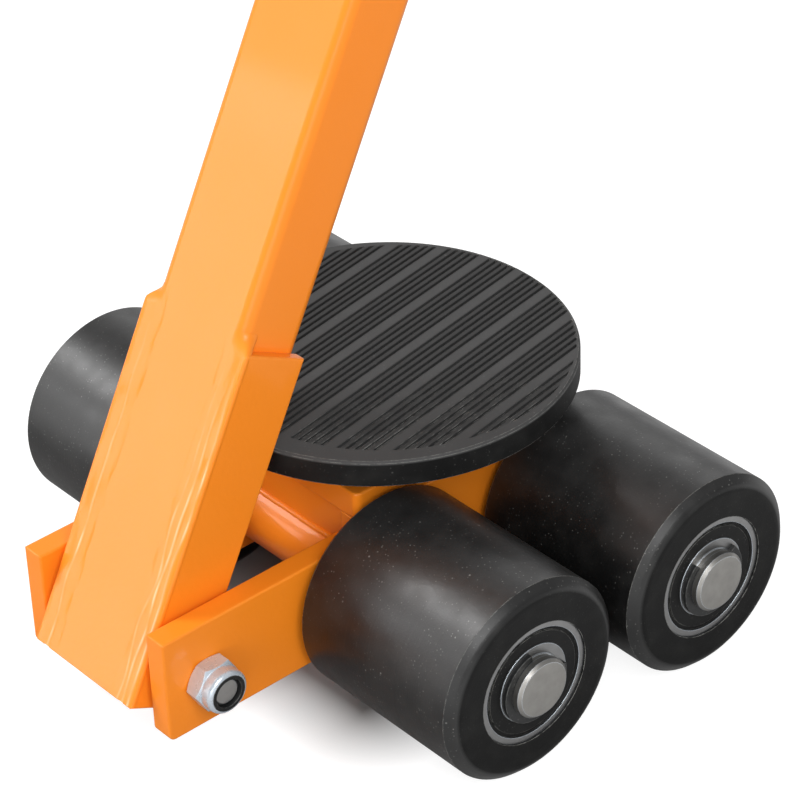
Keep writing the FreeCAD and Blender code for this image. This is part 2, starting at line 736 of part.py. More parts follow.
def drawbar():
    """Rectangular tube with welded cheeks and a pivot sleeve at the hinge, and a cross handle on top."""
    half_width = "(tube_width / 2)"
    handle_up = "(bar_length - handle_below_top)"
    sleeve_hole = ("0", "0", "sleeve_diameter / 2 + seat_fit")
    handle_hole = (BAR_MID, handle_up, "handle_diameter / 2 + seat_fit")

    tube = new_body("drawbar_tube")
    outside = rectangle(f"-{half_width}", half_width, BAR_FRONT, BAR_REAR)
    pad(tube, sketch(tube, "XY_Plane", outside, lift="-bar_tail"), "bar_tail + bar_length")
    soften(tube, "Fillet", "tube_corner", lambda edge: along(edge, Z_AXIS))
    inside_half = f"({half_width} - tube_wall)"
    inside = rectangle(
        f"-{inside_half}", inside_half, f"{BAR_FRONT} + tube_wall", f"{BAR_REAR} - tube_wall"
    )
    pocket(tube, sketch(tube, "XY_Plane", inside), "4 * bar_length")
    cross_holes = sketch(tube, "YZ_Plane", circles=[sleeve_hole, handle_hole])
    pocket(tube, cross_holes, "2 * tube_width")
    keep(place_on_bar(tube), "drawbar_tube")

    for side, face in (("right", half_width), ("left", f"-{CHEEK_OUT}")):
        cheek = new_body(f"drawbar_cheek_{side}")
        outline = rectangle(BAR_FRONT, BAR_REAR, "-bar_tail", "cheek_top")
        pad(cheek, sketch(cheek, "YZ_Plane", outline, [sleeve_hole], lift=face), "cheek_thick")
        front = value(BAR_FRONT)
        top = value("cheek_top")

        def is_top_corner(edge):
            middle = edge.CenterOfMass
            return along(edge, X_AXIS) and abs(middle.y - front) + abs(middle.z - top) < TOUCH

        soften(cheek, "Fillet", "cheek_corner", is_top_corner)
        outer_face = value(CHEEK_OUT)

        def is_outer_rim(edge):
            return is_rim(edge, "XLength") and abs(abs(edge.CenterOfMass.x) - outer_face) < TOUCH

        soften(cheek, "Fillet", "edge_round", is_outer_rim)
        keep(place_on_bar(cheek), f"drawbar_cheek_{side}")

    bolt_hole = "bolt_diameter / 2 + running_fit"
    sleeve = ring("hinge_sleeve", f"-{CHEEK_OUT}", CHEEK_OUT, bolt_hole, "sleeve_diameter / 2")
    keep(place(sleeve, y=HINGE, z=HINGE_UP), "hinge_sleeve")

    cap = new_body("drawbar_end_cap")
    cover = sketch(cap, "XY_Plane", outside, lift="bar_length")
    pad(cap, cover, "end_cap_thick")
    soften(cap, "Fillet", "tube_corner", lambda edge: along(edge, Z_AXIS))
    plug_half = f"({inside_half} - hole_fit)"
    plug = rectangle(
        f"-{plug_half}",
        plug_half,
        f"{BAR_FRONT} + tube_wall + hole_fit",
        f"{BAR_REAR} - tube_wall - hole_fit",
    )
    pad(cap, sketch(cap, "XY_Plane", plug, lift="bar_length - end_cap_plug"), "end_cap_plug")
    keep(place_on_bar(cap), "drawbar_end_cap")

    # The handle and its grips are round, so they only need their place on the leaning bar.
    handle_y = f"{HINGE} + cos({LEAN}) * {BAR_MID} + sin({LEAN}) * {handle_up}"
    handle_z = f"{HINGE_UP} - sin({LEAN}) * {BAR_MID} + cos({LEAN}) * {handle_up}"
    half_handle = "(handle_length / 2)"
    radius = "(handle_diameter / 2)"
    bar = ring("handle_tube", f"-{half_handle}", half_handle, f"{radius} - handle_wall", radius)
    keep(place(bar, y=handle_y, z=handle_z), "handle_tube")
    sock = f"({radius} + seat_fit)"
    skin = f"({radius} + grip_wall)"
    flange = f"({skin} + grip_flange)"
    grip_start = f"({half_handle} - grip_length)"
    grip_end = f"({half_handle} + grip_wall)"
    profile = [
        (grip_start, sock),
        (grip_start, flange),
        (f"{grip_start} + grip_flange_thick", flange),
        (f"{grip_start} + grip_flange_thick", skin),
        (f"{grip_end} - grip_round", skin),
        (grip_end, f"{skin} - grip_round"),
        (grip_end, "0"),
        (half_handle, "0"),
        (half_handle, sock),
    ]
    for side, rotation in SIDES:
        grip = turned(f"handle_grip_{side}", profile)
        keep(place(grip, y=handle_y, z=handle_z, rotation=rotation), f"handle_grip_{side}")


def main():
    frame()
    axles()
    rollers()
    turntable()
    thrust_bearing()
    hinge()
    drawbar()
    doc.recompute()
    for thing in doc.Objects:
        if "Invalid" in thing.State or "Error" in thing.State:
            raise RuntimeError(f"{thing.Label} failed")
    for label, thing in nodes.items():
        if thing.Shape.isNull() or not thing.Shape.isValid():
            raise RuntimeError(f"{label} has no valid shape")
    os.makedirs("parts", exist_ok=True)
    for label, thing in nodes.items():
        thing.Shape.exportStep(f"parts/{label}.step")
    print(f"parked lean {value(LEAN):.2f} degrees, {len(nodes)} nodes")


main()
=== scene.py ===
"""Looks of a steerable machine skate: finishes for every piece, weld beads, grip ribs and a studio stage.

Every object is in metres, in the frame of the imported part: the origin is the centre of the load face,
+Z is up, the axles run along X and the drawbar is at the -Y end.
"""
import math

import bpy
from bpy.props import FloatProperty, FloatVectorProperty, PointerProperty
from mathutils import Matrix, Vector
from mathutils.noise import noise as noise_at


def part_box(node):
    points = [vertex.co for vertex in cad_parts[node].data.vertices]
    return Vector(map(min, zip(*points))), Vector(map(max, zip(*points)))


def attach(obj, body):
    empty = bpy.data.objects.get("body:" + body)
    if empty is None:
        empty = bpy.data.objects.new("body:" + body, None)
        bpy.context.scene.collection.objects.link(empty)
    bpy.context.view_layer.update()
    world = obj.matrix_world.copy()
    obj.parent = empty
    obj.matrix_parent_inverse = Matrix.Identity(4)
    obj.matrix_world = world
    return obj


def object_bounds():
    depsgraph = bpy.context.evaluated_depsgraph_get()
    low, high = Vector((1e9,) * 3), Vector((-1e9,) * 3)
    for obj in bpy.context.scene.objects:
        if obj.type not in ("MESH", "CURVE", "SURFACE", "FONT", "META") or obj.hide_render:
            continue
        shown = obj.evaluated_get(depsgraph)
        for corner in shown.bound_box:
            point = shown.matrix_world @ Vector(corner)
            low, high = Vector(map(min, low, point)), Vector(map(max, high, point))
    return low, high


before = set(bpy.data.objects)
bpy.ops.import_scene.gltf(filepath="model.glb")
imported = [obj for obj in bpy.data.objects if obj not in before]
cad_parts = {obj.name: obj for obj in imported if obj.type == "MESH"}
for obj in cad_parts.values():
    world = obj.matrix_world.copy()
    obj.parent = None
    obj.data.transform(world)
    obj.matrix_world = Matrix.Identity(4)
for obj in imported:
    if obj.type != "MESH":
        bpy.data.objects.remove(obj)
CAD_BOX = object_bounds()

bl_info = {
    "name": "Machine skate",
    "version": (1, 0, 0),
    "blender": (4, 5, 0),
    "location": "3D View > Sidebar > Skate",
    "description": "Finishes, weld beads, grips and stage for a steerable machine skate",
    "category": "Object",
}

MM = 0.001
ENDS = ("front", "rear")
SIDES = {"right": 1, "left": -1}

# Names of what several pieces share.
PAINT = "orange enamel, sprayed"
SPRING = "spring steel, black oxide"
ZINC = "steel, bright zinc"
BEAD = "weld bead"
# Attribute: how near a point of the weld skin is to a ridge's crest, where the paint puts a painted
# highlight.
CREST = "crest"

# Kinds of node that are used most. A range node takes a value, the range it is read on and the range it
# is put on, which is nought to one unless given.
MATH = "ShaderNodeMath"
VECTOR = "ShaderNodeVectorMath"
RANGE = "ShaderNodeMapRange"
CLOUDS = "ShaderNodeTexNoise"
MIX = "ShaderNodeMix"

# The directions that count for the distance from an axis along X or along Z.
ROUND_X = (0.0, 1.0, 1.0)
ROUND_Z = (1.0, 1.0, 0.0)
ORIGIN = (0.0, 0.0, 0.0)
WHITE = (1.0, 1.0, 1.0, 1.0)


def linear(text):
    """Turn an sRGB hex colour into linear red, green, blue and alpha."""
    channels = [int(text[i:i + 2], 16) / 255 for i in (1, 3, 5)]
    return (*(c / 12.92 if c <= 0.04045 else ((c + 0.055) / 1.055) ** 2.4 for c in channels), 1.0)


def length(name, description, millimetres):
    """A length that a user can change, given in millimetres and kept in metres."""
    return FloatProperty(
        name=name, description=description, default=millimetres * MM, min=0, precision=5, unit="LENGTH"
    )


def colour(name, description, text):
    """A colour that a user can change, given as an sRGB hex value."""
    return FloatVectorProperty(
        name=name, description=description, default=linear(text), size=4, min=0, max=1, subtype="COLOR"
    )


class SkateSizes(bpy.types.PropertyGroup):
    """Sizes of the detail that the looks add to the solid parts."""

    bead_radius: length("Frame weld", "Radius of a weld bead of the frame, most of it sunk in the joint", 1.3)
    fill_radius: length("Drawbar weld", "Radius of the beads that fill the drawbar's rear corners", 3.2)
    handle_bead: length("Handle weld", "Radius of the bead round the handle tube", 2.0)
    bead_lump: length("Weld lumps", "Height of the uneven lumps on a weld bead", 0.4)
    ripple_pitch: length("Weld ripple pitch", "Distance between the ripples of a weld bead", 2.4)
    ripple_height: length("Weld ripple height", "Height of the ripples of a weld bead", 0.1)
    rib_pitch: length("Grip rib pitch", "Distance between the ribs of a handle grip", 4.5)
    rib_height: length("Grip rib height", "How far a rib stands out of a handle grip", 1.2)
    peel: length("Orange peel", "Width of the waves in the sprayed paint", 2.2)
    dust: length("Dust grain", "Width of the dust grains on rubber and nylon", 0.5)
    edge: length("Edge", "Width of the rounded and rubbed zone along an edge", 0.5)
    paint_edge: length("Painted edge", "Radius that the paint gives to an edge", 1.2)


class SkateColours(bpy.types.PropertyGroup):
    """Colours of the finishes."""

    paint: colour("Paint", "Orange enamel on the welded steel", "#FB8A18")
    # Paler enamel: faint clouds, and the edges, where it is both thin paint and a painted highlight.
    paint_pale: colour("Thin paint", "Enamel drawn thin over an edge", "#FFAE58")
    # Painted highlight on the crests of the weld ridges.
    paint_ridge_highlight: colour("Ridge paint", "Enamel worn bright on the ridges of a weld", "#FFDCB0")
    nylon: colour("Nylon", "Black cast nylon of the rollers", "#141414")
    # Paler nylon on top: a dust film and a painted top light.
    nylon_dusty_lit_top: colour("Dusty nylon", "Nylon under a thin film of dust on top", "#343434")
    rubber: colour("Rubber", "Black rubber of the load pad", "#101010")
    # Grey of the load face: worn with use, and a painted sheen that makes the top paler than the sides.
    rubber_worn_lit_top: colour("Rubber top", "Rubber of the load face, grey with use", "#464646")
    # Painted shade beside the grooves: the narrow ribs are darker.
    rubber_rib_shade: colour("Rubber ribs", "Narrow ribs of the load face, less rubbed", "#363636")
    seal: colour("Seal", "Black rubber of the bearing seals", "#131313")
    shaft: colour("Shaft", "Bare turned steel", "#A8A6A2")
    ring: colour("Ring", "Ground bearing steel under a film of oil", "#9C9C9C")
    zinc: colour("Zinc", "Bright zinc plating, blue white", "#DEE8F2")
    bolt: colour("Bolt", "Dull zinc of the hinge bolt", "#D2D2D0")
    oxide: colour("Black oxide", "Blackened spring steel", "#1A1B1C")
    bronze: colour("Bronze", "Sintered bronze and brass", "#A5763C")
    grip: colour("Grip", "Moulded grip rubber", "#1C1C1C")
    dust: colour("Dust", "Dust and rubbed edges on black pieces", "#8C8C88")
    floor: colour("Floor", "Pale grey studio floor", "#9C9C9C")


def sizes():
    """The sizes as the user has set them."""
    return bpy.context.scene.skate_sizes


def colours():
    """The colours as the user has set them."""
    return bpy.context.scene.skate_colours


def feed(tree, made, inputs):
    """Set or link inputs of a node, given by name or in order.

    A node given as a source stands for its first output in use.
    """
    for key, source in inputs.items() if isinstance(inputs, dict) else enumerate(inputs):
        if isinstance(source, bpy.types.Node):
            source = next(socket for socket in source.outputs if socket.enabled)
        if isinstance(source, bpy.types.NodeSocket):
            tree.links.new(source, made.inputs[key])
        else:
            made.inputs[key].default_value = source


def add(tree, kind, inputs=(), **settings):
    """Add one node, set its properties, and set or link its inputs."""
    made = tree.nodes.new(kind)
    for name, setting in settings.items():
        setattr(made, name, setting)
    feed(tree, made, inputs)
    return made


# Materials. Patterns run on Object coordinates in millimetres, so a scale is one over a size in millimetres.


def new_material(name, **constants):
    """Start a material: returns it, its tree, its shader and its place in millimetres."""
    material = bpy.data.materials.new(name)
    material.use_nodes = True
    tree = material.node_tree
    shader = next(made for made in tree.nodes if made.type == "BSDF_PRINCIPLED")
    feed(tree, shader, {socket.replace("_", " "): constant for socket, constant in constants.items()})
    place = add(tree, "ShaderNodeTexCoord").outputs["Object"]
    place = add(tree, VECTOR, {0: place, "Scale": 1 / MM}, operation="SCALE")
    return material, tree, shader, place


def patches(tree, place, width, low, high, to_low=0.0, to_high=1.0):
    """Cloudy patches about as wide as given: a range of the clouds is stretched onto another, clamped."""
    clouds = add(tree, CLOUDS, {"Vector": place, "Scale": 1 / width})
    return add(tree, RANGE, (clouds, low, high, to_low, to_high))


def edges(tree, width):
    """Rounded normal, and a mask that is one on sharp edges and nought on flat faces."""
    flat_level = 0.995
    sharp_level = 0.9
    soft = add(tree, "ShaderNodeBevel", {"Radius": width}, samples=6)
    flat = add(tree, "ShaderNodeNewGeometry").outputs["Normal"]
    facing = add(tree, VECTOR, (soft, flat), operation="DOT_PRODUCT")
    return soft, add(tree, RANGE, (facing, flat_level, sharp_level))


def upward(tree):
    """Mask that is one on faces that look up."""
    sloping = 0.55
    level = 0.95
    normal = add(tree, "ShaderNodeNewGeometry").outputs["Normal"]
    height = add(tree, "ShaderNodeSeparateXYZ", (normal,)).outputs["Z"]
    return add(tree, RANGE, (height, sloping, level))


def specks(tree, place, spacing, grain):
    """Scattered grains, coarser than real dust so that they show: one in some cells of a loose grid."""
    rim = grain / spacing
    core = 0.4 * grain / spacing
    cells = add(tree, "ShaderNodeTexVoronoi", {"Vector": place, "Scale": 1 / spacing}).outputs
    near = add(tree, RANGE, (cells["Distance"], rim, core))
    chosen = add(tree, "ShaderNodeSeparateColor", (cells["Color"],))
    chosen = add(tree, RANGE, (chosen, 0.55, 0.9))
    return add(tree, MATH, (near, chosen), operation="MULTIPLY")


def axis_distance(tree, place, centre, across):
    """Distance in millimetres from an axis through a point; across keeps the two directions that count."""
    middle = tuple(c / MM for c in centre)
    offset = add(tree, VECTOR, (place, middle), operation="SUBTRACT")
    offset = add(tree, VECTOR, (offset, across), operation="MULTIPLY")
    return add(tree, VECTOR, (offset,), operation="LENGTH")


def lathe_marks(tree, place, centre, across, pitch):
    """Round tool marks: rings on the end faces and turns along the barrel, at a pitch in millimetres.

    Real ones are finer. These are coarse enough to show.
    """
    along = tuple(1.0 - a for a in across)
    out = axis_distance(tree, place, centre, across)
    travel = add(tree, VECTOR, (place, along), operation="DOT_PRODUCT")
    spot = add(tree, MATH, (out, travel), operation="ADD")
    marks = {"W": spot, "Scale": 1 / pitch, "Detail": 3.0}
    return add(tree, CLOUDS, marks, noise_dimensions="1D")


def orange_enamel():
    """Steel sprayed with glossy orange enamel: a wavy skin with nibs of dust, in faint paler clouds.

    Its edges are paler, as thin paint and as a painted highlight, and the crests of a weld's ridges
    carry a painted highlight. Widths and heights are millimetres.
    """
    cloud_width = 60.0
    cloud_share = 0.12
    thin_width = 3.0
    sheen_width = 25.0
    nib_spacing = 7.0
    nib_width = 0.5
    nib_share = 0.7
    wave_width = sizes().peel / MM
    wave_height = 0.07
    tint = colours()
    material, tree, shader, place = new_material(
        PAINT, Specular_IOR_Level=0.25, Coat_Weight=0.25, Coat_Roughness=0.1
    )
    soft, edge = edges(tree, sizes().paint_edge)
    clouds = add(tree, CLOUDS, {"Vector": place, "Scale": 1 / cloud_width})
    faded = add(tree, MATH, (clouds, cloud_share), operation="MULTIPLY")
    body = add(tree, MIX, {0: faded, 6: tint.paint, 7: tint.paint_pale}, data_type="RGBA")
    # Painted highlight, partly: edges are made paler, as thin paint and as lit edges.
    uneven = patches(tree, place, thin_width, 0.3, 0.75, 0.1, 0.7)
    thin_and_lit_edge = add(tree, MATH, (edge, uneven), operation="MULTIPLY")
    body = add(tree, MIX, {0: thin_and_lit_edge, 6: body, 7: tint.paint_pale}, data_type="RGBA")
    # Painted highlight: the crests of the weld skin's ridges are made near white.
    crest = add(tree, "ShaderNodeAttribute", attribute_name=CREST).outputs["Fac"]
    body = add(tree, MIX, {0: crest, 6: body, 7: tint.paint_ridge_highlight}, data_type="RGBA")
    sheen = patches(tree, place, sheen_width, 0.0, 1.0, 0.4, 0.55)
    nibs = specks(tree, place, nib_spacing, nib_width)
    waves = add(tree, CLOUDS, {"Vector": place, "Scale": 1 / wave_width})
    waves = add(tree, MATH, (nibs, nib_share, waves), operation="MULTIPLY_ADD")
    raised = add(tree, "ShaderNodeBump", {"Height": waves, "Distance": wave_height * MM, "Normal": soft})
    feed(tree, shader, {"Base Color": body, "Roughness": sheen, "Normal": raised})
    return material


def dusty_black(
    name, base, roughness, centre, across, marks=1.6, dust=0.5, rub=0.5, cover=None, **constants
):
    """Black moulded material: fine tool marks, a mottled sheen, pale grains and a rubbed, broken edge line.

    The dust and the rub are numbers, or functions that make a pattern. The cover is a function that tints
    the body. Widths, heights and the pitch of the marks are millimetres.
    """
    mottle_width = 11.0
    scuff_width = 2.5
    sweep_width = 18.0
    grain_width = sizes().dust / MM
    coarse_spacing = 4.5
    fine_spacing = 1.3
    fine_size = 0.7
    fine_share = 0.7
    pore_width = 0.8
    mark_share = 0.8
    mark_height = 0.03
    tint = colours().dust
    material, tree, shader, place = new_material(name, **constants)
    soft, edge = edges(tree, sizes().edge)
    mottle = add(tree, CLOUDS, {"Vector": place, "Scale": 1 / mottle_width, "Detail": 5.0})
    pale = add(tree, RANGE, (mottle, 0.45, 0.85, 0.0, 0.04))
    body = add(tree, MIX, {0: pale, 6: base, 7: tint}, data_type="RGBA")
    if cover is not None:
        body = cover(tree, place, body)
    scuffs = patches(tree, place, scuff_width, 0.36, 0.56, 0.1)
    rubbed = add(tree, MATH, (edge, scuffs), operation="MULTIPLY")
    amount = rub(tree, place) if callable(rub) else rub
    rubbed = add(tree, MATH, (rubbed, amount), operation="MULTIPLY")
    body = add(tree, MIX, {0: rubbed, 6: body, 7: tint}, data_type="RGBA")
    fine = specks(tree, place, fine_spacing, fine_size * grain_width)
    coarse = specks(tree, place, coarse_spacing, grain_width)
    grains = add(tree, MATH, (fine, fine_share, coarse), operation="MULTIPLY_ADD")
    swept = patches(tree, place, sweep_width, 0.42, 0.62, 0.2)
    grains = add(tree, MATH, (grains, swept), operation="MULTIPLY")
    amount = dust(tree, place) if callable(dust) else dust
    grains = add(tree, MATH, (grains, amount), operation="MULTIPLY")
    body = add(tree, MIX, {0: grains, 6: body, 7: tint}, data_type="RGBA")
    sheen = add(tree, RANGE, (mottle, 0.2, 0.8, roughness - 0.07, roughness + 0.09))
    lines = lathe_marks(tree, place, centre, across, marks)
    pores = add(tree, CLOUDS, {"Vector": place, "Scale": 1 / pore_width, "Detail": 3.0})
    relief = add(tree, MATH, (lines, mark_share, pores), operation="MULTIPLY_ADD")
    raised = add(tree, "ShaderNodeBump", {"Height": relief, "Distance": mark_height * MM, "Normal": soft})
    feed(tree, shader, {"Base Color": body, "Roughness": sheen, "Normal": raised})
    return material, tree, shader, place


def roller_nylon(name, centre):
    """Cast nylon: the tread is rolled smooth and shows broad soft lights, the turned end faces are matt."""
    face_end = 5.0
    tread_start = 3.6
    film_width = 8.0
    low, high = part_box("roller_front_right")
    radius = (high.z - low.z) / 2 / MM

    def on_tread(face, barrel):
        """A pattern with one level on the end faces and another on the barrel and its chamfers."""

        def level(tree, place):
            out = axis_distance(tree, place, centre, ROUND_X)
            return add(tree, RANGE, (out, radius - face_end, radius - tread_start, face, barrel))

        return level

    def film(tree, place, body):
        """Thin uneven film of dust on top, and a painted top light: faces that look up are made paler."""
        clouds = add(tree, CLOUDS, {"Vector": place, "Scale": 1 / film_width, "Detail": 4.0})
        # Dust and painted top light: upward faces blend toward the paler nylon.
        dusty_lit_top = add(tree, MATH, (upward(tree), clouds), operation="MULTIPLY")
        return add(tree, MIX, {0: dusty_lit_top, 6: body, 7: colours().nylon_dusty_lit_top}, data_type="RGBA")

    material, tree, shader, place = dusty_black(
        name, colours().nylon, 0.36, centre, ROUND_X, dust=on_tread(0.08, 0.85), rub=1.0, cover=film
    )
    feed(tree, shader, {"Specular IOR Level": on_tread(0.1, 0.55)(tree, place)})
    return material


def bare_metal(name, base, roughness, centre, across, marks=0.9, metallic=1.0):
    """Bare steel turned or ground on a machine: grey, with fine round marks, oil and bright edges."""
    film_width = 6.0
    oil_tone = 0.7
    edge_share = 0.8
    mark_height = 0.01
    material, tree, shader, place = new_material(name, Metallic=metallic)
    soft, edge = edges(tree, sizes().edge)
    film = add(tree, CLOUDS, {"Vector": place, "Scale": 1 / film_width, "Detail": 4.0})
    oily = tuple(oil_tone * c for c in base[:3]) + (1.0,)
    body = add(tree, MIX, {0: film, 6: base, 7: oily}, data_type="RGBA")
    bright = add(tree, MATH, (edge, edge_share), operation="MULTIPLY")
    body = add(tree, MIX, {0: bright, 6: body, 7: colours().zinc}, data_type="RGBA")
    sheen = add(tree, RANGE, (film, 0.2, 0.8, roughness - 0.05, roughness + 0.1))
    lines = lathe_marks(tree, place, centre, across, marks)
    raised = add(tree, "ShaderNodeBump", {"Height": lines, "Distance": mark_height * MM, "Normal": soft})
    feed(tree, shader, {"Base Color": body, "Roughness": sheen, "Normal": raised})
    return material


def material_named(name, make):
    """Find a material by name, or make it."""
    return bpy.data.materials.get(name) or make()


def enamel():
    """The one orange enamel that all painted steel shares."""
    return material_named(PAINT, orange_enamel)


def spring_steel():
    """Stamped spring steel, blackened in hot oxide: nearly black, with an oily satin gloss."""

    def make():
        return dusty_black(SPRING, colours().oxide, 0.36, ORIGIN, ROUND_X, Specular_IOR_Level=0.4)[0]

    return material_named(SPRING, make)


def zinc_plate():
    """Forged steel with a bright zinc plating under a thin chalky film: silvery white, with soft lights."""

    def make():
        centre = node_centre("hinge_bolt")
        return bare_metal(ZINC, tuple(colours().zinc), 0.26, centre, ROUND_X, 1.1, metallic=0.45)

    return material_named(ZINC, make)


def node_centre(name):
    """Middle of the box around a node."""
    low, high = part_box(name)
    return (low + high) / 2


def tube_radius(name):
    """Radius of a node that is round about X."""
    low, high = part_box(name)
    return (high.z - low.z) / 2


def put(name, data):
    """Make an object from its data and put it in the scene."""
    made = bpy.data.objects.new(name, data)
    bpy.context.scene.collection.objects.link(made)
    return made


def dress(material, *names):
    """Give a material to solid pieces of the part."""
    for name in names:
        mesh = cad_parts[name].data
        mesh.materials.clear()
        mesh.materials.append(material)


# Weld beads and grip ribs, made by node trees and turned into plain meshes.


def new_tree(name, inputs):
    """Start a geometry tree with named inputs, and return it with its input sockets by name."""
    tree = bpy.data.node_groups.new(name, "GeometryNodeTree")
    tree.interface.new_socket("Geometry", in_out="OUTPUT", socket_type="NodeSocketGeometry")
    for label, kind in inputs.items():
        tree.interface.new_socket(label, in_out="INPUT", socket_type=f"NodeSocket{kind}")
    return tree, add(tree, "NodeGroupInput").outputs


def finish_tree(tree, geometry, material):
    """Smooth, realize, give the material and put out."""
    smooth = add(tree, "GeometryNodeSetShadeSmooth", {"Geometry": geometry})
    real = add(tree, "GeometryNodeRealizeInstances", {"Geometry": smooth})
    made = add(tree, "GeometryNodeSetMaterial", {"Geometry": real, "Material": material})
    add(tree, "NodeGroupOutput", {"Geometry": made})


def bead_tree():
    """A bead along each line of edges: round, rippled across, lumpy, and drawn in at its two ends."""
    sides = 14
    end_power = 40.0
    swell = 1.02
    inputs = {"Path": "Geometry", "Radius": "Float", "Step": "Float", "Ripple Pitch": "Float"}
    inputs |= {"Ripple Height": "Float", "Lump Width": "Float", "Lump Height": "Float"}
    inputs |= {"Drawn In": "Float", "Seed": "Float", "Finish": "Material"}
    tree, given = new_tree(BEAD, inputs)
    line = add(tree, "GeometryNodeMeshToCurve", {"Mesh": given["Path"]})
    line = add(tree, "GeometryNodeResampleCurve", {"Curve": line, "Length": given["Step"]}, mode="LENGTH")
    along = add(tree, "GeometryNodeSplineParameter").outputs
    held = add(tree, "GeometryNodeCaptureAttribute", {"Geometry": line})
    held.capture_items.new("FLOAT", "along")
    feed(tree, held, {"along": along["Length"]})
    aside = add(tree, MATH, (along["Factor"], 2.0, -1.0), operation="MULTIPLY_ADD")
    aside = add(tree, MATH, (aside,), operation="ABSOLUTE")
    drawn = add(tree, MATH, (aside, end_power), operation="POWER")
    drawn = add(tree, MATH, (drawn, given["Drawn In"]), operation="MULTIPLY")
    scale = add(tree, MATH, (swell, drawn), operation="SUBTRACT")
    scale = add(tree, MATH, (scale,), operation="SQRT")
    profile = {"Resolution": sides, "Radius": given["Radius"]}
    profile = add(tree, "GeometryNodeCurvePrimitiveCircle", profile)
    tube = {"Curve": held, "Profile Curve": profile, "Scale": scale, "Fill Caps": True}
    tube = add(tree, "GeometryNodeCurveToMesh", tube)
    lump_scale = add(tree, MATH, (1.0, given["Lump Width"]), operation="DIVIDE")
    lumps = {"Vector": add(tree, "GeometryNodeInputPosition"), "W": given["Seed"], "Scale": lump_scale}
    lumps = add(tree, CLOUDS, lumps, noise_dimensions="4D")
    lumps = add(tree, MATH, (lumps, 0.5), operation="SUBTRACT")
    lumps = add(tree, MATH, (lumps, given["Lump Height"]), operation="MULTIPLY")
    lumps = add(tree, MATH, (lumps, 2.0), operation="MULTIPLY")
    wave = add(tree, MATH, (held.outputs["along"], given["Ripple Pitch"]), operation="DIVIDE")
    wave = add(tree, MATH, (wave, 2 * math.pi), operation="MULTIPLY")
    wave = add(tree, MATH, (wave,), operation="SINE")
    wave = add(tree, MATH, (wave, given["Ripple Height"]), operation="MULTIPLY")
    rise = add(tree, MATH, (lumps, wave), operation="ADD")
    outward = add(tree, "GeometryNodeInputNormal")
    shift = add(tree, VECTOR, {0: outward, "Scale": rise}, operation="SCALE")
    moved = add(tree, "GeometryNodeSetPosition", {"Geometry": tube, "Offset": shift})
    finish_tree(tree, moved, given["Finish"])
    return tree


def rib_tree():
    """Round ribs in a row along X, each a ring about the axis."""
    ring_sides = 48
    rib_sides = 10
    upright = (0.0, math.pi / 2, 0.0)
    inputs = {"Path": "Geometry", "Count": "Int", "Start": "Vector", "Pitch": "Vector"}
    inputs |= {"Ring Radius": "Float", "Rib Radius": "Float", "Finish": "Material"}
    tree, given = new_tree("grip ribs", inputs)
    row = {"Count": given["Count"], "Start Location": given["Start"], "Offset": given["Pitch"]}
    row = add(tree, "GeometryNodeMeshLine", row)
    circle = {"Resolution": ring_sides, "Radius": given["Ring Radius"]}
    circle = add(tree, "GeometryNodeCurvePrimitiveCircle", circle)
    section = {"Resolution": rib_sides, "Radius": given["Rib Radius"]}
    section = add(tree, "GeometryNodeCurvePrimitiveCircle", section)
    ring = add(tree, "GeometryNodeCurveToMesh", {"Curve": circle, "Profile Curve": section})
    ribs = {"Points": row, "Instance": ring, "Rotation": upright}
    ribs = add(tree, "GeometryNodeInstanceOnPoints", ribs)
    finish_tree(tree, ribs, given["Finish"])
    return tree


def grow(name, tree, mesh, inputs):
    """Run a tree on a mesh with the given inputs and return the result as an object with a plain mesh."""
    source = put(f"{name}_source", mesh)
    modifier = source.modifiers.new("grow", "NODES")
    modifier.node_group = tree
    sockets = {item.name: item for item in tree.interface.items_tree if item.in_out == "INPUT"}
    for label, setting in inputs.items():
        modifier[sockets[label].identifier] = setting
    graph = bpy.context.evaluated_depsgraph_get()
    grown = bpy.data.meshes.new_from_object(source.evaluated_get(graph), depsgraph=graph)
    grown.name = name
    bpy.data.objects.remove(source)
    if not grown.polygons:
        raise RuntimeError(f"{name} came out empty")
    return put(name, grown)


def paths_mesh(name, paths):
    """Edges along several lines of points; a line whose last point is its first is a closed ring."""
    points = []
    lines = []
    for path in paths:
        closed = path[0] == path[-1]
        kept = path[:-1] if closed else path
        first = len(points)
        points += kept
        lines += [(first + i, first + i + 1) for i in range(len(kept) - 1)]
        if closed:
            lines.append((first + len(kept) - 1, first))
    mesh = bpy.data.meshes.new(name)
    mesh.from_pydata([tuple(point) for point in points], lines, [])
    return mesh


def ring_path(x, centre, radius, count=48):
    """Closed ring of points about an X axis."""
    points = []
    for i in range(count):
        turn = 2 * math.pi * i / count
        points.append(Vector((x, centre.y + radius * math.cos(turn), centre.z + radius * math.sin(turn))))
    return points + [points[0]]


def weld(name, body, paths, radius, seed, lump_width=7 * MM, drawn_in=1.0):
    """Lay weld beads along paths, painted like the steel, and let them ride on a body."""
    bead_step = 0.7 * MM
    settings = sizes()
    tree = bpy.data.node_groups.get(BEAD) or bead_tree()
    piece = grow(
        name,
        tree,
        paths_mesh(name, paths),
        {
            "Radius": radius,
            "Step": bead_step,
            "Ripple Pitch": settings.ripple_pitch,
            "Ripple Height": settings.ripple_height,
            "Lump Width": lump_width,
            "Lump Height": settings.bead_lump,
            "Drawn In": drawn_in,
            "Seed": seed,
            "Finish": enamel(),
        },
    )
    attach(piece, body)


